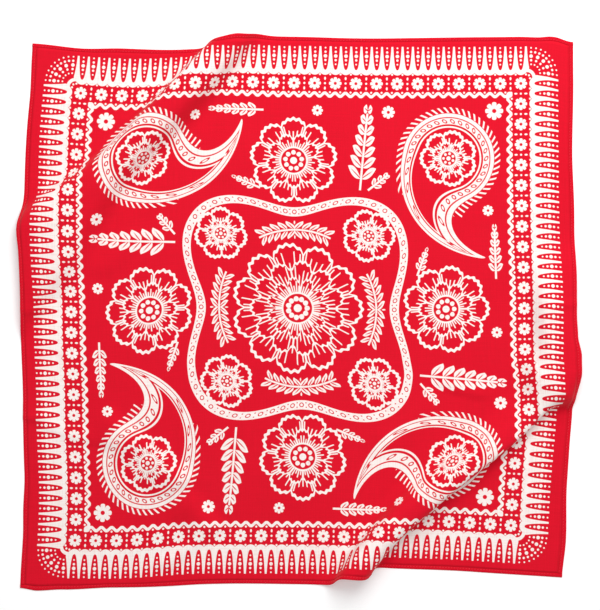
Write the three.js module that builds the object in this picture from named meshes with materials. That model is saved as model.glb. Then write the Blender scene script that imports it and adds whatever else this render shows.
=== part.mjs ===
// A printed cotton bandana laid out flat, with two loose folds that run across opposite corners.
// The cloth is worked out on the flat square first, as (u, v) from its centre, and then placed in space.
// Millimetres, +Z up, +X to the right and +Y to the top of the print; the origin is at the middle of
// the part's outline, on the surface that it lies on.
import * as THREE from "three";

// The finished square, its turned edges and the walls
const WIDTH = 559;
const HEIGHT = 551;
const HEM_WIDTH = 4;
const SEAM_GAP = 0.3;
const PANEL_WALL = 1;
const HEM_WALL = 1.4;

// How finely the cloth is divided
const CELLS_ALONG_ROW = 30;
const FLANK_STEPS = 24;
const NORMAL_STEP = 0.25;

// A row over a fold is traced from well before the cloth's edge to well past it, then cut at the edges
const TRACE_STEPS = 400;
const TRACE_FROM_NEAR = 0.4;
const TRACE_TO_FAR = 1.35;
const CUT_HALVINGS = 40;

// Past its two ends a fold's shape changes no further than this, as shares of its length
const SHAPE_BEFORE = -0.3;
const SHAPE_BEYOND = 1.2;

// Each fold is a ridge that widens with distance from an apex off the cloth. It takes up cloth, and so
// turns the corner beyond it clockwise about that apex. Heading is the way the crest runs from the apex,
// near and far are about where it meets the cloth's edges, and bow and bend move the crest sideways
// between them. Rise and drop are the steepest slopes of its two flanks in degrees, on the side of the
// middle and on the side of the corner, and level is the share of its width that is flat on top.
const UPPER_LEFT_FOLD = {
  apex: [-380, -75],
  heading: 49.5,
  turn: 2.6,
  near: 180,
  far: 505,
  bow: -3,
  bend: -6.5,
  stations: [
    { along: 0, rise: 35, drop: 50, level: 0.25 },
    { along: 0.45, rise: 52, drop: 64, level: 0 },
    { along: 1, rise: 62, drop: 83, level: 0 },
  ],
};

const LOWER_RIGHT_FOLD = {
  apex: [364, 52],
  heading: 226.8,
  turn: 4,
  near: 118,
  far: 430,
  bow: 9.5,
  bend: -12.5,
  stations: [
    { along: 0, rise: 34, drop: 45, level: 0.1 },
    { along: 0.3, rise: 40, drop: 110, level: 0 },
    { along: 0.65, rise: 60, drop: 93, level: 0 },
    { along: 1, rise: 80, drop: 92, level: 0 },
  ],
};

// How far the cloth has crept from a true square, in its own plane: left and right edges to the right,
// top and bottom edges upwards, at places along each edge
const LEFT_CREEP = [
  { at: -275, shift: 2 },
  { at: -185, shift: 5 },
  { at: -95, shift: 1.5 },
  { at: -5, shift: -1.5 },
  { at: 90, shift: -6.5 },
  { at: 185, shift: -8.5 },
  { at: 275, shift: -4 },
];
const RIGHT_CREEP = [
  { at: -275, shift: 2 },
  { at: -185, shift: 1 },
  { at: -110, shift: 2 },
  { at: -60, shift: 2 },
  { at: 0, shift: -2.5 },
  { at: 120, shift: -5 },
  { at: 275, shift: -5 },
];
const BOTTOM_CREEP = [
  { at: -280, shift: -7.5 },
  { at: -190, shift: -8.5 },
  { at: -95, shift: -3.5 },
  { at: 0, shift: -3.5 },
  { at: 95, shift: -6 },
  { at: 190, shift: -3.5 },
  { at: 280, shift: -3 },
];
const TOP_CREEP = [
  { at: -280, shift: -8.5 },
  { at: -190, shift: -9 },
  { at: -95, shift: -2.5 },
  { at: 0, shift: -5 },
  { at: 95, shift: -6 },
  { at: 190, shift: -6 },
  { at: 280, shift: -8.5 },
];

// Where the rows of cells lie. Across a fold the numbers are shares of its width, from the foot on the
// middle's side; between folds and corners they are shares of the way.
const ROWS_TO_CORNER = [0.2, 0.4, 0.6, 0.8];
const ROWS_OVER_FOLD = [
  1, 0.95, 0.9, 0.85, 0.8, 0.75, 0.7, 0.65, 0.6, 0.55, 0.5, 0.45, 0.4, 0.34, 0.28, 0.21, 0.14, 0.07, 0,
];
const ROWS_TO_MIDDLE = [0.1, 0.22, 0.35, 0.5, 0.65, 0.8, 0.9];

const COTTON_RED = new THREE.Color().setRGB(0.89, 0.06, 0.17, THREE.SRGBColorSpace);
const HEM_RED = new THREE.Color().setRGB(0.82, 0.05, 0.15, THREE.SRGBColorSpace);
const COTTON_ROUGHNESS = 0.9;

const mix = (a, b, share) => a + (b - a) * share;
const mixPoints = (p, q, share) => [mix(p[0], q[0], share), mix(p[1], q[1], share)];
const ease = (share) => share * share * (3 - 2 * share);

// A value read from a short table, eased between its rows
function readTable(table, key, column, at) {
  if (at <= table[0][key]) return table[0][column];
  const next = table.findIndex((row) => row[key] > at);
  if (next < 0) return table.at(-1)[column];
  const low = table[next - 1];
  const high = table[next];
  return mix(low[column], high[column], ease((at - low[key]) / (high[key] - low[key])));
}

// How far the first part of a flank runs and lifts, for a length of cloth of 1 in the whole flank
function flank(steepest, part) {
  let run = 0;
  let lift = 0;
  for (let step = 0; step < FLANK_STEPS; step += 1) {
    const slope = steepest * Math.sin((Math.PI * part * (step + 0.5)) / FLANK_STEPS) ** 2;
    run += Math.cos(slope);
    lift += Math.sin(slope);
  }
  return { run: (run * part) / FLANK_STEPS, lift: (lift * part) / FLANK_STEPS };
}

// The section of a fold at a distance from its apex
function sectionAt(fold, radius) {
  const along = (radius - fold.near) / (fold.far - fold.near);
  const kept = THREE.MathUtils.clamp(along, SHAPE_BEFORE, SHAPE_BEYOND);
  const read = (column) => readTable(fold.stations, "along", column, kept);
  const rise = THREE.MathUtils.degToRad(read("rise"));
  const drop = THREE.MathUtils.degToRad(read("drop"));
  const level = read("level");
  const up = flank(rise, 1);
  const down = flank(drop, 1);
  const riseShare = ((1 - level) * down.lift) / (up.lift + down.lift);
  const dropShare = 1 - level - riseShare;
  const taken = THREE.MathUtils.degToRad(fold.turn) * radius;
  const width = taken / (1 - riseShare * up.run - dropShare * down.run - level);
  const bulge = 4 * kept * (1 - kept);
  const side = fold.bow * bulge + 2 * fold.bend * bulge * (2 * kept - 1);
  return { rise, drop, level, riseShare, dropShare, width, side, foot: riseShare + level / 2 };
}

// Where a fold puts a point of the flat cloth
function foldPoint(fold, u, v) {
  const du = u - fold.apex[0];
  const dv = v - fold.apex[1];
  const radius = Math.hypot(du, dv);
  const heading = THREE.MathUtils.degToRad(fold.heading);
  const turned = Math.atan2(dv, du) - heading;
  const angle = Math.atan2(Math.sin(turned), Math.cos(turned));
  const section = sectionAt(fold, radius);
  const share = (radius * angle - section.side) / section.width + section.foot;
  if (share <= 0) return [u, v, 0];
  const { rise, drop, level, riseShare, dropShare, width } = section;
  const onRise = Math.min(share, riseShare);
  const onLevel = THREE.MathUtils.clamp(share - riseShare, 0, level);
  const onDrop = THREE.MathUtils.clamp(share - riseShare - level, 0, dropShare);
  const up = flank(rise, onRise / riseShare);
  const down = flank(drop, onDrop / dropShare);
  const beyond = Math.max(share - 1, 0);
  const run = up.run * riseShare + onLevel + down.run * dropShare + beyond;
  const across = ((run - section.foot) * width + section.side) / radius;
  return [
    fold.apex[0] + radius * Math.cos(heading + across),
    fold.apex[1] + radius * Math.sin(heading + across),
    (up.lift * riseShare - down.lift * dropShare) * width,
  ];
}

// Where the laid-out cloth has a point of the flat square
function place(u, v) {
  const one = foldPoint(UPPER_LEFT_FOLD, u, v);
  const two = foldPoint(LOWER_RIGHT_FOLD, u, v);
  const left = readTable(LEFT_CREEP, "at", "shift", v);
  const right = readTable(RIGHT_CREEP, "at", "shift", v);
  const bottom = readTable(BOTTOM_CREEP, "at", "shift", u);
  const top = readTable(TOP_CREEP, "at", "shift", u);
  return new THREE.Vector3(
    one[0] + two[0] - u + mix(left, right, u / WIDTH + 0.5),
    one[1] + two[1] - v + mix(bottom, top, v / HEIGHT + 0.5),
    Math.max(one[2] + two[2], 0),
  );
}

function normalAt(u, v) {
  const alongU = place(u + NORMAL_STEP, v).sub(place(u - NORMAL_STEP, v));
  const alongV = place(u, v + NORMAL_STEP).sub(place(u, v - NORMAL_STEP));
  return alongU.cross(alongV).normalize();
}

// A closed wall of cloth over a grid of flat points. Its faces are the grid's cells, once on the
// underside and once raised by the wall, and its rim closes the edges that only one cell uses.
function clothWall(grid, wall) {
  const indexOf = new Map();
  const flat = [];
  const weld = (point) => {
    const key = point.map((value) => value.toFixed(4)).join();
    if (!indexOf.has(key)) {
      indexOf.set(key, flat.length);
      flat.push(point);
    }
    return indexOf.get(key);
  };
  const corners = grid.map((row) => row.map(weld));
  const faces = [];
  const addFace = (a, b, c) => {
    if (a === b || b === c || c === a) return;
    const [p, q, r] = [flat[a], flat[b], flat[c]];
    const turn = (q[0] - p[0]) * (r[1] - p[1]) - (q[1] - p[1]) * (r[0] - p[0]);
    faces.push(turn > 0 ? [a, b, c] : [a, c, b]);
  };
  for (let i = 1; i < corners.length; i += 1) {
    for (let j = 1; j < corners[i].length; j += 1) {
      addFace(corners[i - 1][j - 1], corners[i][j - 1], corners[i][j]);
      addFace(corners[i - 1][j - 1], corners[i][j], corners[i - 1][j]);
    }
  }
  const used = new Set(faces.flatMap(([a, b, c]) => [`${a}>${b}`, `${b}>${c}`, `${c}>${a}`]));
  const raised = flat.length;
  const triangles = [];
  for (const [a, b, c] of faces) {
    triangles.push(a, c, b, a + raised, b + raised, c + raised);
    for (const [from, to] of [[a, b], [b, c], [c, a]]) {
      if (used.has(`${to}>${from}`)) continue;
      triangles.push(from, to, to + raised, from, to + raised, from + raised);
    }
  }
  const under = flat.map(([u, v]) => place(u, v));
  const over = flat.map(([u, v], i) => under[i].clone().addScaledVector(normalAt(u, v), wall));
  const geometry = new THREE.BufferGeometry().setFromPoints([...under, ...over]);
  geometry.setIndex(triangles);
  geometry.computeVertexNormals();
  return geometry;
}

// The part of a curve inside a rectangle about the middle, cut at its sides
function clipToRectangle(curve, halfU, halfV) {
  const depth = ([u, v]) => Math.min(halfU - Math.abs(u), halfV - Math.abs(v));
  const first = curve.findIndex((point) => depth(point) > 0);
  const last = curve.findLastIndex((point) => depth(point) > 0);
  const cut = (inside, outside) => {
    let low = 0;
    let high = 1;
    for (let halving = 0; halving < CUT_HALVINGS; halving += 1) {
      const middle = (low + high) / 2;
      if (depth(mixPoints(inside, outside, middle)) > 0) low = middle;
      else high = middle;
    }
    const [u, v] = mixPoints(inside, outside, low);
    const onSide = halfU - Math.abs(u) < halfV - Math.abs(v);
    return onSide ? [Math.sign(u) * halfU, v] : [u, Math.sign(v) * halfV];
  };
  return [
    cut(curve[first], curve[first - 1]),
    ...curve.slice(first, last + 1),
    cut(curve[last], curve[last + 1]),
  ];
}

// A curve's points moved so that they are evenly spaced
function respace(curve, cells) {
  const path = new THREE.CurvePath();
  for (let i = 1; i < curve.length; i += 1) {
    path.add(new THREE.LineCurve(new THREE.Vector2(...curve[i - 1]), new THREE.Vector2(...curve[i])));
  }
  const points = path.getSpacedPoints(cells).map((point) => point.toArray());
  points[0] = curve[0];
  points[cells] = curve.at(-1);
  return points;
}

// The row of flat points at one share of a fold's width, from the apex outwards
function foldRow(fold, share, halfU, halfV) {
  const heading = THREE.MathUtils.degToRad(fold.heading);
  const curve = [];
  for (let step = 0; step <= TRACE_STEPS; step += 1) {
    const radius = mix(fold.near * TRACE_FROM_NEAR, fold.far * TRACE_TO_FAR, step / TRACE_STEPS);
    const section = sectionAt(fold, radius);
    const angle = heading + ((share - section.foot) * section.width + section.side) / radius;
    curve.push([fold.apex[0] + radius * Math.cos(angle), fold.apex[1] + radius * Math.sin(angle)]);
  }
  return respace(clipToRectangle(curve, halfU, halfV), CELLS_ALONG_ROW);
}

// Rows of cells that follow the folds, from the top left corner to the bottom right one. Each row runs
// from the left or bottom edge to the top or right edge, and one row joins the other two corners.
function panelRows(halfU, halfV) {
  const between = (from, to, shares) =>
    shares.map((share) => from.map((point, j) => mixPoints(point, to[j], share)));
  const cornerRow = (u, v) => Array.from({ length: CELLS_ALONG_ROW + 1 }, () => [u, v]);
  const upper = ROWS_OVER_FOLD.map((share) => foldRow(UPPER_LEFT_FOLD, share, halfU, halfV));
  const lower = ROWS_OVER_FOLD.toReversed().map((share) =>
    foldRow(LOWER_RIGHT_FOLD, share, halfU, halfV).reverse());
  const middle = respace([[-halfU, -halfV], [halfU, halfV]], CELLS_ALONG_ROW);
  const first = cornerRow(-halfU, halfV);
  const last = cornerRow(halfU, -halfV);
  return [
    first,
    ...between(first, upper[0], ROWS_TO_CORNER),
    ...upper,
    ...between(upper.at(-1), middle, ROWS_TO_MIDDLE),
    middle,
    ...between(middle, lower[0], ROWS_TO_MIDDLE),
    ...lower,
    ...between(lower.at(-1), last, ROWS_TO_CORNER),
    last,
  ];
}

// The turned edges, as two lines of points each, in step with the ends of the panel's rows
function hemGrids(rows, halfU, halfV) {
  const starts = rows.map((row) => row[0]);
  const ends = rows.map((row) => row.at(-1));
  const onTop = ends.filter(([, v]) => v === halfV).map(([u]) => u);
  const onRight = ends.filter(([u]) => u === halfU).map(([, v]) => v);
  const onLeft = starts.filter(([u]) => u === -halfU).map(([, v]) => v);
  const onBottom = starts.filter(([, v]) => v === -halfV).map(([u]) => u);
  const acrossFull = (places) => [-WIDTH / 2, ...places, WIDTH / 2];
  const level = (places, inner, outer) => places.map((u) => [[u, inner], [u, outer]]);
  const upright = (places, inner, outer) => places.map((v) => [[inner, v], [outer, v]]);
  return {
    hem_top: level(acrossFull(onTop), halfV + SEAM_GAP, HEIGHT / 2),
    hem_bottom: level(acrossFull(onBottom), -halfV - SEAM_GAP, -HEIGHT / 2),
    hem_left: upright(onLeft, -halfU - SEAM_GAP, -WIDTH / 2),
    hem_right: upright(onRight, halfU + SEAM_GAP, WIDTH / 2),
  };
}

function clothMesh(name, grid, wall, color) {
  const material = new THREE.MeshStandardMaterial({ color, roughness: COTTON_ROUGHNESS, metalness: 0 });
  const mesh = new THREE.Mesh(clothWall(grid, wall), material);
  mesh.name = name;
  return mesh;
}

const panelHalfU = WIDTH / 2 - HEM_WIDTH;
const panelHalfV = HEIGHT / 2 - HEM_WIDTH;
const rows = panelRows(panelHalfU, panelHalfV);

const bandana = new THREE.Group();
bandana.add(clothMesh("panel", rows, PANEL_WALL, COTTON_RED));
for (const [name, grid] of Object.entries(hemGrids(rows, panelHalfU, panelHalfV))) {
  bandana.add(clothMesh(name, grid, HEM_WALL, HEM_RED));
}
const outline = new THREE.Box3().setFromObject(bandana);
bandana.position.set(-(outline.min.x + outline.max.x) / 2, -(outline.min.y + outline.max.y) / 2, 0);

export default bandana;
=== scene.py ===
"""A printed cotton bandana laid out flat, with two loose folds across opposite corners."""
import math

import bmesh
import bpy
import numpy as np
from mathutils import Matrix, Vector


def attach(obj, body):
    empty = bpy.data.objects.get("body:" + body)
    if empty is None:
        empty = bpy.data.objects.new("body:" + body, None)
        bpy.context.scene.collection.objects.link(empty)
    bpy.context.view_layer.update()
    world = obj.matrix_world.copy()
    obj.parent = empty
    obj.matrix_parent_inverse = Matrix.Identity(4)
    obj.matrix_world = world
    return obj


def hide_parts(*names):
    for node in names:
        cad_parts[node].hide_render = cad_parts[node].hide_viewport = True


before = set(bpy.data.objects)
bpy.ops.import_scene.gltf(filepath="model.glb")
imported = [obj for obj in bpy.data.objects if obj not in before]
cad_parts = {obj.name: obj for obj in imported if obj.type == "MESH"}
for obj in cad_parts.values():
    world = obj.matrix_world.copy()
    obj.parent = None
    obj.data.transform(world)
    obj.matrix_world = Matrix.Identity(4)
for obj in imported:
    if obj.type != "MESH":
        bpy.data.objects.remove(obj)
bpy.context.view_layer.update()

bl_info = {
    "name": "Printed cotton bandana",
    "version": (1, 0, 0),
    "blender": (4, 5, 0),
    "location": "3D View > Sidebar > Bandana",
    "description": "Builds a printed bandana, its turned hems and a plain stage",
    "category": "Add Mesh",
}

MM = 0.001

# The finished square and its hems, in millimetres
WIDTH = 559
HEIGHT = 551
HEM_WIDTH = 4

# Half the width and height of the square between its hems
INNER_U = WIDTH / 2 - HEM_WIDTH
INNER_V = HEIGHT / 2 - HEM_WIDTH

# Middle of the laid-out cloth's outline, which is the part's origin
OUTLINE_MIDDLE = (-2.296, -6.433)

# The two large folds, each a ridge that widens with distance from an apex off the cloth.
# Heading is the way that the ridge runs, and turn is the angle of cloth that it takes up.
# Bow, bend and skew shift the ridge sideways. Rise and drop are the steepest slopes of its flanks,
# and level is the flat share of its top, each at places along it between near and far.
UPPER_LEFT_FOLD = {
    "apex": (-380, -75),
    "heading": 49.5,
    "turn": 2.6,
    "near": 180,
    "far": 505,
    "bow": -3,
    "bend": -6.5,
    "skew": 0,
    "along": (0, 0.45, 1),
    "rise": (35, 52, 62),
    "drop": (50, 64, 83),
    "level": (0.25, 0, 0),
}
LOWER_RIGHT_FOLD = {
    "apex": (364, 52),
    "heading": 226.8,
    "turn": 4,
    "near": 118,
    "far": 430,
    "bow": 9.5,
    "bend": -12.5,
    "skew": -6,
    "along": (0, 0.16, 0.3, 0.65, 1),
    "rise": (17.5, 39.5, 40, 60, 80),
    "drop": (62, 51, 114, 93, 92),
    "level": (0.2, 0, 0, 0, 0),
}

# How far each edge has crept from a true square: places along the edge, and the shift there
LEFT_CREEP = ((-275, -185, -95, -5, 90, 185, 275), (2, 5, 1.5, -1.5, -6.5, -8.5, -5.5))
RIGHT_CREEP = (
    (-275, -185, -115, -90, -68, -48, -20, 0, 120, 275),
    (2, 1, 2.5, 1.5, 0, -2.5, -3, -3, -5, -5),
)
BOTTOM_CREEP = ((-280, -190, -95, 0, 95, 190, 280), (-7.5, -8.5, -3.5, -3.5, -6, -3.5, -3))
TOP_CREEP = ((-280, -190, -95, 0, 95, 190, 250, 280), (-6.5, -9, -2.5, -5, -6, -6, -5.5, -10.5))

# How far the cut strays from the print beside it, along each edge and only in a narrow rim
RIM_WIDTH = 12
LEFT_RIM = (
    (-275, -226, -195, -160, -100, 0, 60, 99, 130, 218, 266),
    (-1, -0.5, -1.5, 0, 1, 1, 2, -1, 0.5, 1.5, -0.5),
)
RIGHT_RIM = (
    (-275, -236, -180, -130, -90, -68, -48, -26, -5, 50, 105, 160, 235),
    (2, 4, 2, 1, 1.5, 2.5, 4, 0.5, -0.5, 0, 1, -0.5, 1),
)
BOTTOM_RIM = ((-280, -264, -238, -188, -122, -62, 30, 280), (1, -1.5, 0, 2.5, 0.5, 1.5, 0.5, 0.3))
TOP_RIM = (
    (-280, -234, -188, -128, -88, -60, -15, 60, 205, 225, 246, 264, 279),
    (0, -1.5, 1.5, -1.5, -1.5, 4, 0.5, -0.5, 1, 1, 0.3, 2.5, 0.5),
)

# Steps in which a flank is added up, and how far a fold's curves go on past near and far
FLANK_STEPS = 24
SHAPE_BEFORE = -0.3
SHAPE_BEYOND = 1.2

# Soft creases: start, end, height, and the half width of each flank, left and right of the way along
CREASES = (
    ((-290, -95), (-165, -150), 1.2, 14, 9),
    ((-201, -104), (-146, -155), 3.8, 20, 28),
    ((-153, -140), (-110, -187), 4.8, 20, 32),
    ((-118, -184), (-80, -233), 3.6, 18, 28),
    ((-280, 61), (-166, 166), 1.8, 24, 11),
    ((6, -300), (108, -212), 2.0, 22, 11),
    ((-150, -262), (-88, -226), 1.8, 10, 12),
    ((128, -66), (196, -96), 1.6, 14, 9),
    ((-285, -4), (-238, -2), 0.9, 7, 6),
    ((-285, -112), (-240, -108), 1.0, 7, 6),
    ((285, -2), (236, -4), 0.9, 6, 7),
    ((-95, 120), (-40, 175), 1.2, 18, 18),
    ((-220, 30), (-150, 78), 1.4, 20, 16),
    ((60, -150), (150, -85), 1.2, 20, 22),
    ((60, 205), (120, 262), 0.9, 16, 14),
    ((190, 110), (262, 92), 0.8, 14, 15),
)


# Sideways sway of a crease as a share of its length, half waves along it, and the share that fades
CREASE_SWAY = 0.06
CREASE_WAVES = 1.3
CREASE_END = 0.3

# Millimetres of flat cloth between points that a normal is measured from
NORMAL_STEP = 0.4


def eased(share):
    return share * share * (3 - 2 * share)


def read_table(places, values, at):
    """Values eased between the places of a short table, and held at its ends."""
    at = np.clip(at, places[0], places[-1])
    low = np.clip(np.searchsorted(places, at, side="right") - 1, 0, len(places) - 2)
    places = np.asarray(places, float)
    values = np.asarray(values, float)
    share = eased((at - places[low]) / (places[low + 1] - places[low]))
    return values[low] + (values[low + 1] - values[low]) * share


def flank(steepest, part):
    """How far the first part of a flank runs and lifts, for a length of cloth of 1 in all of it."""
    run = 0.0
    lift = 0.0
    for step in range(FLANK_STEPS):
        slope = steepest * np.sin(np.pi * part * (step + 0.5) / FLANK_STEPS) ** 2
        run = run + np.cos(slope)
        lift = lift + np.sin(slope)
    return run * part / FLANK_STEPS, lift * part / FLANK_STEPS


def fold_points(fold, u, v):
    """Where a fold puts points of the flat cloth."""
    du = u - fold["apex"][0]
    dv = v - fold["apex"][1]
    radius = np.hypot(du, dv)
    heading = math.radians(fold["heading"])
    turned = np.arctan2(dv, du) - heading
    angle = np.arctan2(np.sin(turned), np.cos(turned))
    kept = np.clip((radius - fold["near"]) / (fold["far"] - fold["near"]), SHAPE_BEFORE, SHAPE_BEYOND)
    rise = np.radians(read_table(fold["along"], fold["rise"], kept))
    drop = np.radians(read_table(fold["along"], fold["drop"], kept))
    level = read_table(fold["along"], fold["level"], kept)
    up_run, up_lift = flank(rise, 1)
    down_run, down_lift = flank(drop, 1)
    rise_share = (1 - level) * down_lift / (up_lift + down_lift)
    drop_share = 1 - level - rise_share
    taken = math.radians(fold["turn"]) * radius
    width = taken / (1 - rise_share * up_run - drop_share * down_run - level)
    bulge = 4 * kept * (1 - kept)
    side = fold["bow"] * bulge + 2 * fold["bend"] * bulge * (2 * kept - 1)
    side = side + fold["skew"] * np.maximum(1 - kept, 0) ** 4
    foot = rise_share + level / 2
    share = (radius * angle - side) / width + foot
    over = np.maximum(share, 0)
    up_run, up_lift = flank(rise, np.minimum(over, rise_share) / rise_share)
    on_level = np.clip(over - rise_share, 0, level)
    on_drop = np.clip(over - rise_share - level, 0, drop_share)
    down_run, down_lift = flank(drop, on_drop / drop_share)
    run = up_run * rise_share + on_level + down_run * drop_share + np.maximum(over - 1, 0)
    across = ((run - foot) * width + side) / radius
    x = np.where(share <= 0, u, fold["apex"][0] + radius * np.cos(heading + across))
    y = np.where(share <= 0, v, fold["apex"][1] + radius * np.sin(heading + across))
    z = np.where(share <= 0, 0, (up_lift * rise_share - down_lift * drop_share) * width)
    return x, y, z


def crease_lift(x, y):
    """How far the soft creases lift the cloth off the surface."""
    lift = np.zeros_like(x)
    for start, end, height, left, right in CREASES:
        way = np.subtract(end, start)
        length = math.hypot(*way)
        way = way / length
        along = ((x - start[0]) * way[0] + (y - start[1]) * way[1]) / length
        aside = (y - start[1]) * way[0] - (x - start[0]) * way[1]
        aside = aside + CREASE_SWAY * length * np.sin(np.pi * along * CREASE_WAVES)
        slope = np.where(aside > 0, aside / left, -aside / right)
        across = eased(np.clip(1 - slope, 0, 1))
        first_end = eased(np.clip(along / CREASE_END, 0, 1))
        last_end = eased(np.clip((1 - along) / CREASE_END, 0, 1))
        lift = lift + height * across * (first_end * last_end)
    return lift


def strayed(rim, along, depth):
    """How far the cut has strayed along one edge, fading with depth into the cloth."""
    return read_table(*rim, along) * eased(np.clip(1 - depth / RIM_WIDTH, 0, 1))


def placed(u, v):
    """Where the laid-out cloth has points of the flat square, in millimetres in the part's frame."""
    one = fold_points(UPPER_LEFT_FOLD, u, v)
    two = fold_points(LOWER_RIGHT_FOLD, u, v)
    left = read_table(*LEFT_CREEP, v)
    right = read_table(*RIGHT_CREEP, v)
    bottom = read_table(*BOTTOM_CREEP, u)
    top = read_table(*TOP_CREEP, u)
    x = one[0] + two[0] - u + left + (right - left) * (u / WIDTH + 0.5)
    y = one[1] + two[1] - v + bottom + (top - bottom) * (v / HEIGHT + 0.5)
    x = x + strayed(LEFT_RIM, v, u + WIDTH / 2) + strayed(RIGHT_RIM, v, WIDTH / 2 - u)
    y = y + strayed(BOTTOM_RIM, u, v + HEIGHT / 2) + strayed(TOP_RIM, u, HEIGHT / 2 - v)
    z = np.maximum(one[2] + two[2], 0) + crease_lift(x, y)
    return np.stack([x - OUTLINE_MIDDLE[0], y - OUTLINE_MIDDLE[1], z], 1)


def normals_at(u, v):
    """Which way the laid-out cloth faces at points of the flat square."""
    along_u = placed(u + NORMAL_STEP, v) - placed(u - NORMAL_STEP, v)
    along_v = placed(u, v + NORMAL_STEP) - placed(u, v - NORMAL_STEP)
    normal = np.cross(along_u, along_v)
    return normal / np.linalg.norm(normal, axis=1, keepdims=True)


class Reading:
    """A number that differs over the cloth, and the Math nodes that work it out."""

    def __init__(self, tree, socket):
        self.tree = tree
        self.socket = socket

    def math(self, operation, *others, clamp=False):
        node = self.tree.nodes.new("ShaderNodeMath")
        node.operation = operation
        node.use_clamp = clamp
        for place, value in enumerate((self, *others)):
            if isinstance(value, Reading):
                self.tree.links.new(value.socket, node.inputs[place])
            else:
                node.inputs[place].default_value = value
        return Reading(self.tree, node.outputs[0])

    def __add__(self, other):
        return self.math("ADD", other)

    __radd__ = __add__

    def __sub__(self, other):
        return self.math("SUBTRACT", other)

    def __rsub__(self, other):
        return self.math("MULTIPLY_ADD", -1, other)

    def __mul__(self, other):
        return self.math("MULTIPLY", other)

    __rmul__ = __mul__

    def __truediv__(self, other):
        return self.math("DIVIDE", other)

    def size(self):
        return self.math("ABSOLUTE")

    def least(self, other):
        return self.math("MINIMUM", other)

    def most(self, other):
        return self.math("MAXIMUM", other)

    def power(self, exponent):
        return self.math("POWER", exponent)

    def wave(self):
        return self.math("COSINE")

    def sine(self):
        return self.math("SINE")

    def repeat(self, pitch):
        """Distance from the nearest of marks a pitch apart."""
        return self.math("PINGPONG", pitch / 2)

    def ramp(self, start, end):
        """0 at start, 1 at end, and held beyond them."""
        return self.math("MULTIPLY_ADD", 1 / (end - start), -start / (end - start), clamp=True)

    def times_plus(self, factor, more):
        return self.math("MULTIPLY_ADD", factor, more)

    def left_over(self, period):
        """What is left over past whole periods."""
        return self.math("FLOORED_MODULO", period)


def reach(a, b):
    """Distance from the place where both numbers are 0."""
    join = a.tree.nodes.new("ShaderNodeCombineXYZ")
    a.tree.links.new(a.socket, join.inputs[0])
    a.tree.links.new(b.socket, join.inputs[1])
    length = a.tree.nodes.new("ShaderNodeVectorMath")
    length.operation = "LENGTH"
    a.tree.links.new(join.outputs[0], length.inputs[0])
    return Reading(a.tree, length.outputs["Value"])


def bearing(a, b):
    """Angle from the way in which a grows."""
    return b.math("ARCTAN2", a)


# The print, in millimetres on the flat cloth
INK_EDGE = 0.35
DAISY_PITCH = 20.7
FINGER_PITCH = DAISY_PITCH / 2
DAISY_ROW = 227.7
PRINT_RISE = 1.1

# Leafy sprigs in each quarter of the middle: foot, heading in degrees, length, leaf length, leaf pitch
SPRIGS = (
    ((66, 120), 84, 78, 17, 11.5),
    ((74, 120), 38, 26, 8.5, 7.5),
    ((200, 30), 90, 50, 9, 8.5),
    ((121, 34), 68, 26, 7.5, 7),
)

# Small daisies in each quarter: place and rim
DAISIES = (
    ((201, 200), 9),
    ((95, 199), 6.5),
    ((194, 99), 5.5),
    ((24, 200), 5.5),
)


def ink(distance, half):
    """1 where the distance is less than half a line's width, with a soft edge."""
    return distance.ramp(half + INK_EDGE / 2, half - INK_EDGE / 2)


def past(edge, distance):
    """1 where the distance is more than the edge."""
    return (edge - distance).ramp(INK_EDGE / 2, -INK_EDGE / 2)


def turned(a, b, degrees):
    """The same place, measured along and across a heading."""
    c = math.cos(math.radians(degrees))
    s = math.sin(math.radians(degrees))
    return a * c + b * s, b * c - a * s


def daisy_print(a, b, rim):
    """A small white daisy of eight petals with a dark heart."""
    petal = bearing(a, b).repeat(math.pi / 4) * (8 / math.pi)
    radius = reach(a, b)
    return ink(radius + petal.power(4) * (rim * 0.42), rim).least(past(rim * 0.24, radius))


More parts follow.
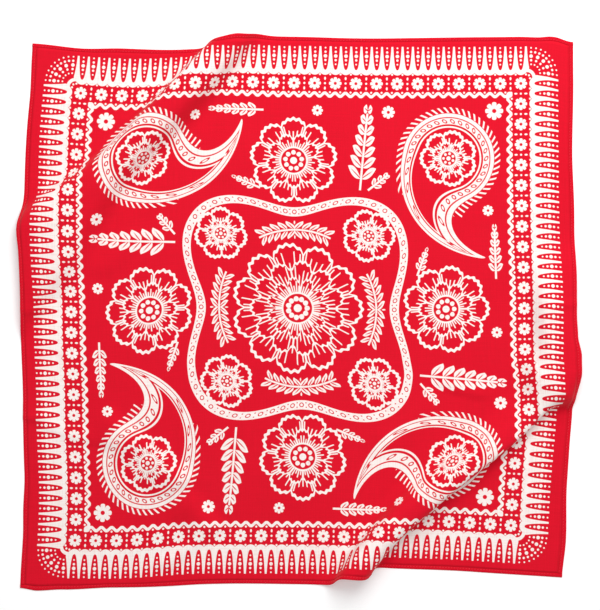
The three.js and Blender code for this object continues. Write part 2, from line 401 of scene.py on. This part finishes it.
def border_print(out, along):
    """The border, from the distance outside the daisy row and the distance past the corner daisy."""
    side = along + DAISY_ROW
    finger = side.repeat(FINGER_PITCH)

    # White spikes with red fingers between them, and the scalloped band that they stand on
    opening = 4.6 * out.ramp(13.7, 37.6).power(0.32)
    spikes = ink(opening - finger, 0.3)
    scallop = (finger * (2 / FINGER_PITCH)).power(2) * 2.4 + 8.6
    scallop = scallop.most((along - 5.2).times_plus(50, 0).least(13.9))
    spikes = spikes.least(past(scallop, out)).least(ink(out, 37.6)).least(ink(along, 8.3))
    corner = ink((reach(out - 6.2, along - 6.2) - 7.0).size(), 1.65).least(past(5.0, along))
    white = spikes.most(corner)

    # Rows of five dots, in the fingers and in the fan outside each corner
    radius = reach(out - FINGER_PITCH, along - FINGER_PITCH)
    ray = bearing(out - FINGER_PITCH, along - FINGER_PITCH).repeat(math.pi / 8)
    fan = along.ramp(5.1, 5.2)
    depth = out + (radius + FINGER_PITCH - out) * fan
    beside = finger + (radius * ray - finger) * fan
    between = radius * (math.pi / 16 - ray) + depth.ramp(30.2, 29.8) * 9 + along.ramp(10.5, 10.4) * 9
    beside = beside.least(between)
    from_middle = (depth - 27.8).size()
    smaller = from_middle.ramp(1.9, 2.3) * 0.6 + from_middle.ramp(6.1, 6.5) * 0.32
    dots = ink(reach(from_middle.repeat(4.2), beside) + smaller, 1.75)
    white = white.most(dots.least(ink(from_middle, 10.4)))

    # Small dots in the notches of both scalloped lines
    notch = reach((out - 0.05).size() - 9.15, finger - FINGER_PITCH / 2)
    notch = notch.least(reach(out - 8.2, along - 8.2))
    white = white.most(ink(notch, 1.02))

    # Daisies
    beside_daisy = side.repeat(DAISY_PITCH)
    white = white.most(daisy_print(beside_daisy, out, 6.3))

    # Three marks between daisies
    gap = FINGER_PITCH - beside_daisy
    marks = reach(out, gap).least(reach((out.size() - 5.0) * 0.6, gap) + 0.12)
    white = white.most(ink(marks, 1.05))

    # Wavy inner line, with a knob at each corner
    swing = side * (2 * math.pi / FINGER_PITCH)
    line = (out + 11.5 - swing.wave() * 1.6).size() - swing.sine().size() * 0.5
    knob = reach(out + 11.4, along + 11.4)
    return white.most(ink(line, 1.45)).most(ink(knob, 3.0))


def flower_print(a, b, rim, petals, rings):
    """A line-drawn flower. Each ring of petals is a share of the rim, with hairs at its roots."""
    radius = reach(a, b)
    angle = bearing(a, b)
    half = math.pi / petals
    across = angle.repeat(2 * half) * (1 / half)
    between = 1 - across
    ruffle = (angle * (petals * 5)).wave() * (rim * 0.012 + 0.3)
    uneven = (angle * (petals * 2.5)).wave() * (rim * 0.04)
    hair = ink(radius * angle.repeat(half / 2.5), 0.6)
    heart = rim * rings[-1] * 0.5
    edges = []
    for place, share in enumerate(rings):
        lobe = across if place % 2 == 0 else between
        edges.append(rim * share - lobe.power(2.4) * (rim * 0.15) + ruffle)
    roots = edges[1:] + [heart]
    lines = ink((radius - heart).size(), 0.9)
    for place, (edge, root) in enumerate(zip(edges, roots)):
        lobe = between if place % 2 == 0 else across
        within = ink(radius - edge, 0).least(past(root, radius))
        seam = ink(radius * lobe * half, 0.9)
        hairs = hair.least(ink(radius - root - uneven, rim * 0.15))
        lines = lines.most(seam.most(hairs).least(within))
        lines = lines.most(ink((radius - edge).size(), 1.6 if place == 0 else 1.25))
    seeds = reach(radius - heart * 0.62, radius * angle.repeat(2 * half))
    return lines.most(ink(seeds, heart * 0.17)).most(ink(radius, heart * 0.26))


def vine_print(radius, angle):
    """A four-lobed vine round the middle, a white band with red rings and dots."""
    aside = radius + (angle * 4).wave() * 19 - 116
    near = angle.repeat(2 * math.pi / 68) * radius
    far = radius * (math.pi / 68) - near
    rings = ink((reach(aside, near) - 1.9).size(), 0.45)
    dots = ink(reach(aside.size() - 2.2, far), 0.65)
    return ink(aside.size(), 4.6).least(1 - rings.most(dots))


def leaves_print(slant, side, leaf, pitch):
    """Pairs of pointed leaves. Slant is the way along the stem, less a share of side."""
    out = side / leaf
    lens = (out * (1 - out)).most(0) * (pitch * 1.4)
    over = slant.repeat(pitch) * 0.76
    return ink(over - lens, -0.35).least(past(0.5, over).most(past(0.62, out)))


def wreath_print(radius, angle):
    """Pairs of small leaves along an arc."""
    way = angle * 79
    aside = (radius - 79).size()
    stem = ink(aside, 0.9).least(ink(way.size(), 37))
    slant = way - aside * 0.85
    leaves = leaves_print(slant, aside, 9.4, 7.4)
    return stem.most(leaves.least(ink(slant.size(), 33.3)))


def paisley_print(a, b, bulb, tail, curl):
    """A curled drop with a beaded band inside its edge and rays outside. Its tail starts along b."""
    radius = reach(a, b)
    angle = bearing(b, a) + (radius - bulb * 0.6).most(0) * curl
    side = (radius * angle.sine()).size()
    ahead = radius * angle.wave()
    slim = (bulb - 2.0) / tail
    upright = math.sqrt(1 - slim * slim)
    lean = ahead * upright - side * slim
    depth = side * upright + ahead * slim - bulb
    depth = depth + (radius - bulb - depth) * lean.ramp(0.05, -0.05)
    end = tail * upright
    depth = depth + (reach(side, ahead - tail) - 2.0 - depth) * lean.ramp(end - 0.05, end + 0.05)
    bead = reach(depth + 7.2, radius * angle.repeat(math.pi / 15))
    lines = ink((depth + 1.2).size(), 1.8)
    lines = lines.most(ink((depth + 7.2).size(), 3.1).least(past(2.3, bead))).most(ink(bead, 1.2))
    lines = lines.most(ink((depth + 13.0).size(), 0.8))
    rays = ink(radius * angle.repeat(math.pi / 26), 1.05).least(ink((depth - 4.0).size(), 2.8))
    return lines.most(rays.least(ink(ahead, bulb * 1.15)))


def sprig_print(along, across, length, leaf, pitch):
    """A stem with pairs of pointed leaves, shorter towards its tip."""
    side = across.size()
    stem = ink(side, 1.0).least(ink((along - length / 2).size(), length / 2))
    taper = along.ramp(length * 1.2, 0).power(0.6).times_plus(leaf, 0.01)
    slant = along - side * 0.85
    pairs = round(length / pitch)
    leaves = leaves_print(slant, side, taper, pitch)
    return stem.most(leaves.least(ink((slant - (pairs + 1) * pitch / 2).size(), pairs * pitch / 2)))


def middle_print(u, v):
    """The middle: a large flower, a vine, four flowers, four paisleys and leafy sprigs."""
    radius = reach(u, v)
    angle = bearing(u, v)
    white = flower_print(u, v, 64, 11, (1, 0.73, 0.48))
    white = white.most(vine_print(radius, angle))

    # Alike on both sides of the middle lines
    near_line = angle.repeat(math.pi / 2)
    white = white.most(wreath_print(radius, near_line))
    a = radius * near_line.wave()
    b = radius * near_line.sine()
    white = white.most(flower_print(a - 149, b, 42, 9, (1, 0.64)))

    # Turned a quarter from each corner to the next
    quarter = angle.left_over(math.pi / 2)
    a = radius * quarter.wave()
    b = radius * quarter.sine()
    white = white.most(flower_print(a - 74, b - 74, 25, 7, (1, 0.55)))
    p, q = turned(a - 155, b - 152, 128)
    white = white.most(paisley_print(p, q, 45, 104, 0.0155))
    white = white.most(flower_print(p, q, 27, 7, (1, 0.6)))
    for foot, heading, length, leaf, pitch in SPRIGS:
        p, q = turned(a - foot[0], b - foot[1], heading)
        white = white.most(sprig_print(p, q, length, leaf, pitch))
    for place, rim in DAISIES:
        white = white.most(daisy_print(a - place[0], b - place[1], rim))
    return white


def whole_print(u, v):
    """All of the print, 1 where it is white."""
    rise = v - PRINT_RISE
    a = u.size()
    b = rise.size()
    out = a.most(b) - DAISY_ROW
    along = a.least(b) - DAISY_ROW
    return border_print(out, along).most(ink(out, -16).least(middle_print(u, rise)))


def new_node(tree, kind, **values):
    node = tree.nodes.new("ShaderNode" + kind)
    for socket, value in values.items():
        node.inputs[socket.replace("_", " ")].default_value = value
    return node


def mixed(tree, factor, first, second):
    """A colour between two, each a socket or a plain colour."""
    node = tree.nodes.new("ShaderNodeMix")
    node.data_type = "RGBA"
    tree.links.new(factor.socket, node.inputs["Factor"])
    for name, colour in (("A", first), ("B", second)):
        if isinstance(colour, bpy.types.NodeSocket):
            tree.links.new(colour, node.inputs[name])
        else:
            node.inputs[name].default_value = (*colour, 1.0)
    return node.outputs["Result"]


def slubs(u, v, u_scale, v_scale):
    """Thick places in single threads, long one way and a thread or two wide the other."""
    tree = u.tree
    join = tree.nodes.new("ShaderNodeCombineXYZ")
    tree.links.new((u * u_scale).socket, join.inputs[0])
    tree.links.new((v * v_scale).socket, join.inputs[1])
    noise = new_node(tree, "TexNoise", Scale=1.0, Detail=2.0)
    noise.noise_dimensions = "2D"
    tree.links.new(join.outputs[0], noise.inputs["Vector"])
    return Reading(tree, noise.outputs["Fac"])


# Share of the bright dye that shows on the hems, where the cloth is doubled
HEM_DYE = 0.3


def cotton(name, printed):
    """Plain-weave cotton: dyed streaks, slubs and threads, and the print where it is printed."""
    settings = bpy.context.scene.bandana_cloth
    material = bpy.data.materials.new(name)
    material.use_nodes = True
    tree = material.node_tree
    links = tree.links
    shader = tree.nodes["Principled BSDF"]
    shader.inputs["Sheen Weight"].default_value = 0.16
    shader.inputs["Sheen Roughness"].default_value = 0.4
    shader.inputs["Sheen Tint"].default_value = (1.0, 0.62, 0.52, 1.0)
    shader.inputs["Specular IOR Level"].default_value = 0.15

    place = tree.nodes.new("ShaderNodeUVMap")
    place.uv_map = "Flat_cloth"
    split = tree.nodes.new("ShaderNodeSeparateXYZ")
    links.new(place.outputs[0], split.inputs[0])
    u = Reading(tree, split.outputs[0]).times_plus(WIDTH, -WIDTH / 2)
    v = Reading(tree, split.outputs[1]).times_plus(HEIGHT, -HEIGHT / 2)
    streaks = slubs(u, v, 0.9, 0.035) + slubs(u, v, 0.035, 0.9) - 1.0

    # Threads and slubs stand up a little
    pitch = settings.thread_pitch / MM
    weave = (u * (2 * math.pi / pitch)).wave() * (v * (2 * math.pi / pitch)).wave()
    bump = new_node(tree, "Bump", Strength=0.4, Distance=0.0001)
    links.new((weave * 0.4 + streaks * 1.4).socket, bump.inputs["Height"])
    links.new(bump.outputs[0], shader.inputs["Normal"])

    # Dye, a little uneven over the cloth
    cloudy = new_node(tree, "TexNoise", Scale=7.0, Detail=3.0)
    cloudy.noise_dimensions = "2D"
    links.new(place.outputs[0], cloudy.inputs["Vector"])
    dye = (Reading(tree, cloudy.outputs["Fac"]) * 0.5 + streaks * 1.1).math("ADD", 0.25, clamp=True)
    seen = dye if printed else dye * HEM_DYE
    colour = mixed(tree, seen, settings.deep_red, settings.bright_red)
    if printed:
        white = whole_print(u, v)
        worn = streaks.times_plus(0.35, 0.97).math("MULTIPLY", white, clamp=True)
        colour = mixed(tree, worn, colour, settings.print_white)
    reverse = tree.nodes.new("ShaderNodeAttribute")
    reverse.attribute_name = "Reverse"
    faded = Reading(tree, reverse.outputs["Fac"]) * 0.35
    colour = mixed(tree, faded, colour, settings.reverse_pink)
    links.new(colour, shader.inputs["Base Color"])
    links.new(streaks.times_plus(0.3, 0.88).socket, shader.inputs["Roughness"])
    return material


def sewing_thread(name):
    """Twisted red sewing thread."""
    settings = bpy.context.scene.bandana_hems
    material = bpy.data.materials.new(name)
    material.use_nodes = True
    tree = material.node_tree
    shader = tree.nodes["Principled BSDF"]
    shader.inputs["Roughness"].default_value = 0.55
    shader.inputs["Sheen Weight"].default_value = 0.2
    place = tree.nodes.new("ShaderNodeTexCoord")
    twist = new_node(tree, "TexWave", Scale=900.0, Distortion=1.5)
    twist.bands_direction = "DIAGONAL"
    tree.links.new(place.outputs["Object"], twist.inputs["Vector"])
    light = tuple(value * 1.15 for value in settings.thread_red)
    colour = mixed(tree, Reading(tree, twist.outputs["Fac"]), settings.thread_red, light)
    tree.links.new(colour, shader.inputs["Base Color"])
    bump = new_node(tree, "Bump", Strength=0.3, Distance=0.0001)
    tree.links.new(twist.outputs["Fac"], bump.inputs["Height"])
    tree.links.new(bump.outputs[0], shader.inputs["Normal"])
    return material


def new_piece(name, mesh, material):
    """An object at the origin with a finished mesh and one material."""
    data = bpy.data.meshes.new(name)
    mesh.to_mesh(data)
    mesh.free()
    piece = bpy.data.objects.new(name, data)
    piece.data.materials.append(material)
    bpy.context.collection.objects.link(piece)
    return piece


def cloth_wall(low, high, cells, foot, wall):
    """A thin closed wall of cloth over a rectangle of the flat square, laid where the cloth lies.

    Foot and wall give its distance above the placed surface and its thickness, from u and v.
    """
    mesh = bmesh.new()
    bmesh.ops.create_grid(mesh, x_segments=cells[0], y_segments=cells[1], size=0.5)
    share = np.array([vert.co[:2] for vert in mesh.verts]) + 0.5
    u = low[0] + (high[0] - low[0]) * share[:, 0]
    v = low[1] + (high[1] - low[1]) * share[:, 1]
    points = placed(u, v)
    normals = normals_at(u, v)
    lifted = foot(u, v)
    under = (points + normals * lifted[:, None]) * MM
    over = (points + normals * (lifted + wall(u, v))[:, None]) * MM
    count = len(mesh.verts)
    layer = mesh.loops.layers.uv.new("Flat_cloth")
    reverse = mesh.verts.layers.float.new("Reverse")
    bmesh.ops.duplicate(mesh, geom=mesh.verts[:] + mesh.edges[:] + mesh.faces[:])
    mesh.faces.ensure_lookup_table()
    bmesh.ops.reverse_faces(mesh, faces=mesh.faces[: len(mesh.faces) // 2])
    bmesh.ops.bridge_loops(mesh, edges=[edge for edge in mesh.edges if edge.is_boundary])
    flat = np.stack([u / WIDTH + 0.5, v / HEIGHT + 0.5], 1)
    for vert in mesh.verts:
        place = vert.index % count
        below = vert.index < count
        vert.co = under[place] if below else over[place]
        vert[reverse] = 1.0 if below else 0.0
    for face in mesh.faces:
        face.smooth = True
        for loop in face.loops:
            loop[layer].uv = flat[loop.vert.index % count]
    return mesh


class BandanaClothSettings(bpy.types.PropertyGroup):
    cells: bpy.props.IntProperty(
        name="Cells a side",
        description="How finely the cloth is divided along each side",
        default=218,
        min=20,
        max=222,
    )
    thickness: bpy.props.FloatProperty(
        name="Thickness",
        description="Thickness of the cotton as built",
        default=0.0005,
        unit="LENGTH",
    )
    thread_pitch: bpy.props.FloatProperty(
        name="Thread pitch",
        description="Distance between neighbouring threads of the weave",
        default=0.0005,
        unit="LENGTH",
    )
    bright_red: bpy.props.FloatVectorProperty(
        name="Bright red",
        description="Lighter streaks of the dyed cloth",
        default=(0.755, 0.0055, 0.0235),
        subtype="COLOR",
        min=0,
        max=1,
    )
    deep_red: bpy.props.FloatVectorProperty(
        name="Deep red",
        description="Deeper streaks of the dyed cloth",
        default=(0.675, 0.0018, 0.0165),
        subtype="COLOR",
        min=0,
        max=1,
    )
    print_white: bpy.props.FloatVectorProperty(
        name="Print white",
        description="White of the print",
        default=(0.96, 0.887, 0.847),
        subtype="COLOR",
        min=0,
        max=1,
    )
    reverse_pink: bpy.props.FloatVectorProperty(
        name="Reverse pink",
        description="Colour that the underside fades towards",
        default=(0.75, 0.18, 0.2),
        subtype="COLOR",
        min=0,
        max=1,
    )


class BandanaHemSettings(bpy.types.PropertyGroup):
    thickness: bpy.props.FloatProperty(
        name="Hem thickness",
        description="Thickness of the three turned layers at their thickest",
        default=0.0009,
        unit="LENGTH",
    )
    stitch_pitch: bpy.props.FloatProperty(
        name="Stitch pitch",
        description="Distance from one stitch to the next",
        default=0.0029,
        unit="LENGTH",
    )
    stitch_length: bpy.props.FloatProperty(
        name="Stitch length",
        description="Length of thread that shows in one stitch",
        default=0.0022,
        unit="LENGTH",
    )
    thread_red: bpy.props.FloatVectorProperty(
        name="Thread red",
        description="Colour of the sewing thread",
        default=(0.68, 0.004, 0.02),
        subtype="COLOR",
        min=0,
        max=1,
    )


class BandanaStageSettings(bpy.types.PropertyGroup):
    window_power: bpy.props.FloatProperty(
        name="Window light",
        description="Power of the large soft light above the cloth's top edge, in watts",
        default=26.0,
        min=0,
    )
    fill_power: bpy.props.FloatProperty(
        name="Fill light",
        description="Power of the soft light overhead, in watts",
        default=8.0,
        min=0,
    )
    camera_height: bpy.props.FloatProperty(
        name="Camera height",
        description="Distance from the camera to the middle of the photograph on the surface",
        default=1.5,
        unit="LENGTH",
    )


# Clearance of the cloth and of its hems over the surface that they are placed on, in millimetres
CLOTH_FOOT = 0.1
HEM_FOOT = 0.02


class BANDANA_OT_cloth(bpy.types.Operator):
    """Build the printed square of cotton"""

    bl_idname = "bandana.cloth"
    bl_label = "Printed Square"

    def execute(self, context):
        settings = context.scene.bandana_cloth
        mesh = cloth_wall(
            (-INNER_U, -INNER_V),
            (INNER_U, INNER_V),
            (settings.cells, settings.cells),
            lambda u, v: np.full_like(u, CLOTH_FOOT),
            lambda u, v: np.full_like(u, settings.thickness / MM),
        )
        cloth = new_piece("Cloth", mesh, cotton("Printed_cotton", True))
        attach(cloth, "root")
        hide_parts("panel")
        return {"FINISHED"}


# Each hem's lower left and upper right corners on the flat square, and its cells each way
HEMS = {
    "top": ((-WIDTH / 2, INNER_V), (WIDTH / 2, HEIGHT / 2), (520, 8)),
    "bottom": ((-WIDTH / 2, -HEIGHT / 2), (WIDTH / 2, -INNER_V), (520, 8)),
    "left": ((-WIDTH / 2, -INNER_V), (-INNER_U, INNER_V), (8, 520)),
    "right": ((INNER_U, -INNER_V), (WIDTH / 2, INNER_V), (8, 520)),
}


# Shares of the way over a hem where its stitches run and where its outer edge begins to round
STITCH_LINE = 0.3
ROUND_FROM = 0.6

# Lean of a stitch across its row, and height of its middle over the hem, in millimetres
STITCH_LEAN = 0.12
STITCH_RAISE = 0.1


def across_hem(u, v, side):
    """Share of the way over a hem, 0 at the cloth and 1 at the outer edge."""
    if side in ("top", "bottom"):
        return np.clip((np.abs(v) - INNER_V) / HEM_WIDTH, 0, 1)
    return np.clip((np.abs(u) - INNER_U) / HEM_WIDTH, 0, 1)


def hem_thickness(u, v, side):
    """The turned layers: round at the outer edge, drawn in at the stitches, thick at the corners."""
    settings = bpy.context.scene.bandana_hems
    share = across_hem(u, v, side)
    along = u if side in ("top", "bottom") else v
    full = settings.thickness / MM
    outer = np.sqrt(np.clip(1 - ((share - ROUND_FROM) / 0.44) ** 2, 0.05, 1))
    body = np.where(share > ROUND_FROM, outer, 1)
    stitched = np.exp(-(((share - STITCH_LINE) * HEM_WIDTH) / 0.6) ** 2)
    pucker = 0.5 + 0.5 * np.cos(2 * np.pi * along / (settings.stitch_pitch / MM))
    from_corner = np.maximum(INNER_U - np.abs(u), 0) / 3 + np.maximum(INNER_V - np.abs(v), 0) / 3
    corner = np.exp(-from_corner)
    inner = eased(np.clip(share / 0.2, 0, 1)) * 0.45 + 0.55
    return full * (body * inner * (1 - stitched * (0.06 + 0.05 * pucker)) + 0.35 * corner * body)


class BANDANA_OT_hems(bpy.types.Operator):
    """Build the four turned hems"""

    bl_idname = "bandana.hems"
    bl_label = "Turned Hems"

    def execute(self, context):
        finish = cotton("Hem_cotton", False)
        for side, (low, high, cells) in HEMS.items():
            mesh = cloth_wall(
                low,
                high,
                cells,
                lambda u, v: np.full_like(u, HEM_FOOT),
                lambda u, v: hem_thickness(u, v, side),
            )
            hem = new_piece("Hem_" + side, mesh, finish)
            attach(hem, "root")
            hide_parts("hem_" + side)
        return {"FINISHED"}


class BANDANA_OT_stitching(bpy.types.Operator):
    """Sew a row of stitches along each hem"""

    bl_idname = "bandana.stitching"
    bl_label = "Hem Stitching"

    def execute(self, context):
        settings = context.scene.bandana_hems
        pitch = settings.stitch_pitch / MM
        row = INNER_U + HEM_WIDTH * STITCH_LINE, INNER_V + HEM_WIDTH * STITCH_LINE
        finish = sewing_thread("Sewing_thread")
        for side in HEMS:
            level = side in ("top", "bottom")
            length = INNER_U if level else INNER_V
            along = np.arange(-length + pitch, length - pitch / 2, pitch)
            fixed = np.full_like(along, row[1] if level else row[0])
            if side in ("bottom", "left"):
                fixed = -fixed
            u, v = (along, fixed) if level else (fixed, along)
            ahead_u = pitch * 0.3 if level else STITCH_LEAN
            ahead_v = STITCH_LEAN if level else pitch * 0.3
            ahead = placed(u + ahead_u, v + ahead_v)
            behind = placed(u - ahead_u, v - ahead_v)
            normals = normals_at(u, v)
            height = hem_thickness(u, v, side) + STITCH_RAISE
            mesh = bmesh.new()
            for one, two, normal, lift in zip(ahead, behind, normals, height):
                made = bmesh.ops.create_icosphere(mesh, subdivisions=1, radius=0.5)["verts"]
                way = Vector(one - two).normalized()
                up = Vector(normal)
                cross = up.cross(way).normalized()
                middle = Vector((one + two) / 2) + up * float(lift)
                for vert in made:
                    x, y, z = vert.co
                    long_way = way * (x * settings.stitch_length / MM)
                    vert.co = (middle + long_way + cross * (y * 0.5) + up * (z * 0.36)) * MM
            for face in mesh.faces:
                face.smooth = True
            stitches = new_piece("Stitches_" + side, mesh, finish)
            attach(stitches, "root")
        return {"FINISHED"}


# The floor's grey and its own faint light, and the light from all round
FLOOR_GREY = 0.92
FLOOR_GLOW = 0.16
ROOM_LIGHT = 0.42
FLOOR_SIZE = 3.0

# Height of what the camera takes in on the floor in metres, its sensor, and its lean in degrees
VIEW_HEIGHT = 0.6116
SENSOR_HEIGHT = 24
CAMERA_LEAN = 2.08


class BANDANA_OT_stage(bpy.types.Operator):
    """Set the pale floor, the soft lights and the camera"""

    bl_idname = "bandana.stage"
    bl_label = "Plain Stage"

    def execute(self, context):
        settings = context.scene.bandana_stage
        paint = bpy.data.materials.new("Floor_paint")
        paint.use_nodes = True
        shader = paint.node_tree.nodes["Principled BSDF"]
        shader.inputs["Base Color"].default_value = (FLOOR_GREY, FLOOR_GREY, FLOOR_GREY, 1)
        shader.inputs["Emission Color"].default_value = (1, 1, 1, 1)
        shader.inputs["Emission Strength"].default_value = FLOOR_GLOW
        shader.inputs["Roughness"].default_value = 0.9
        shader.inputs["Specular IOR Level"].default_value = 0.2
        mesh = bmesh.new()
        bmesh.ops.create_grid(mesh, x_segments=1, y_segments=1, size=FLOOR_SIZE)
        new_piece("Floor", mesh, paint)

        world = bpy.data.worlds.new("Studio")
        world.use_nodes = True
        background = world.node_tree.nodes["Background"]
        background.inputs["Color"].default_value = (1, 1, 1, 1)
        background.inputs["Strength"].default_value = ROOM_LIGHT
        context.scene.world = world

        # Name, place, size and power of each light, all aimed at the cloth
        lamps = (
            ("Window", (0.35, 1.05, 1.25), 1.4, settings.window_power),
            ("Fill", (0.3, -0.2, 2.4), 2.0, settings.fill_power),
        )
        for name, spot, size, power in lamps:
            light = bpy.data.lights.new(name, "AREA")
            light.size = size
            light.energy = power
            lamp = bpy.data.objects.new(name, light)
            lamp.location = spot
            lamp.rotation_euler = Vector(spot).to_track_quat("Z", "Y").to_euler()
            context.collection.objects.link(lamp)

        # The camera looks down from above, a little from the side of the bottom edge
        view = bpy.data.cameras.new("Camera")
        view.sensor_fit = "VERTICAL"
        view.sensor_height = SENSOR_HEIGHT
        view.lens = SENSOR_HEIGHT * settings.camera_height / VIEW_HEIGHT
        tilt = math.radians(CAMERA_LEAN)
        aim = Vector((-OUTLINE_MIDDLE[0] * MM, -OUTLINE_MIDDLE[1] * MM, 0))
        camera = bpy.data.objects.new("Camera", view)
        camera.location = aim + Vector((0, -math.sin(tilt), math.cos(tilt))) * settings.camera_height
        camera.rotation_euler = (tilt, 0, 0)
        context.collection.objects.link(camera)
        context.scene.camera = camera
        context.scene.view_settings.view_transform = "Standard"
        return {"FINISHED"}


OPERATORS = (BANDANA_OT_cloth, BANDANA_OT_hems, BANDANA_OT_stitching, BANDANA_OT_stage)
GROUPS = {
    "bandana_cloth": BandanaClothSettings,
    "bandana_hems": BandanaHemSettings,
    "bandana_stage": BandanaStageSettings,
}


class BANDANA_PT_panel(bpy.types.Panel):
    """The bandana's sizes, colours and pieces"""

    bl_idname = "BANDANA_PT_panel"
    bl_label = "Bandana"
    bl_space_type = "VIEW_3D"
    bl_region_type = "UI"
    bl_category = "Bandana"

    def draw(self, context):
        column = self.layout.column()
        for group, kind in GROUPS.items():
            for name in kind.__annotations__:
                column.prop(getattr(context.scene, group), name)
        for operator in OPERATORS:
            column.operator(operator.bl_idname)


CLASSES = (*GROUPS.values(), *OPERATORS, BANDANA_PT_panel)


def register():
    for item in CLASSES:
        bpy.utils.register_class(item)
    for name, kind in GROUPS.items():
        setattr(bpy.types.Scene, name, bpy.props.PointerProperty(type=kind))


def unregister():
    for name in GROUPS:
        delattr(bpy.types.Scene, name)
    for item in reversed(CLASSES):
        bpy.utils.unregister_class(item)


def main():
    register()
    bpy.ops.bandana.cloth()
    bpy.ops.bandana.hems()
    bpy.ops.bandana.stitching()
    bpy.ops.bandana.stage()


if __name__ == "__main__":
    main()
